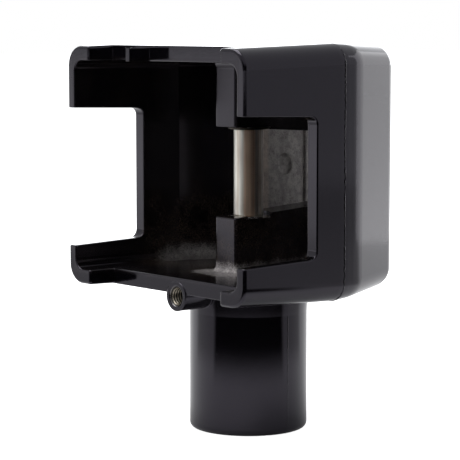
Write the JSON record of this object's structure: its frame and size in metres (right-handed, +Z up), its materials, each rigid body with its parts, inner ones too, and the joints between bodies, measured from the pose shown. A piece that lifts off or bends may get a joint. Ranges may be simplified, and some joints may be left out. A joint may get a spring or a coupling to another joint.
{
  "type": "umbrella swivel bracket",
  "caption": "Open-fronted die-cast swivel bracket on a round spigot, with a turning pivot sleeve between two posts and a tapped clamp boss.",
  "frame": {"origin": "on the spigot's axis, where it meets the underside of the housing", "axes": "+Z up along the spigot's axis, -Y out of the open front, +X out of the right-hand side window"},
  "size_m": [0.0894, 0.0742, 0.1244],
  "materials": {
    "black_paint": "gloss black paint over a die casting, worn and thin inside the hollow",
    "ground_steel": "ground and lightly polished steel",
    "bright_steel": "bright rolled steel",
    "zinc_plate": "zinc-plated steel",
    "bare_casting": "bare as-cast metal with overspray"
  },
  "bodies": {
    "root": {"bracket_housing": "black_paint", "pivot_bolt": "zinc_plate", "bolt_plain_washer": "zinc_plate", "bolt_lock_washer": "zinc_plate"},
    "sleeve": {"pivot_sleeve": "ground_steel"},
    "lower_washer": {"lower_thrust_washer": "bright_steel"},
    "upper_washer": {"upper_thrust_washer": "bright_steel"}
  },
  "joints": [
    {"name": "sleeve_turn", "type": "hinge", "parent": "root", "child": "sleeve", "pos_m": [0, 0, 0.0377], "axis": [0, 0, 1], "continuous": true},
    {"name": "lower_washer_turn", "type": "hinge", "parent": "root", "child": "lower_washer", "pos_m": [0, 0, 0.0235], "axis": [0, 0, 1], "continuous": true},
    {"name": "upper_washer_turn", "type": "hinge", "parent": "root", "child": "upper_washer", "pos_m": [0, 0, 0.0519], "axis": [0, 0, 1], "continuous": true}
  ]
}
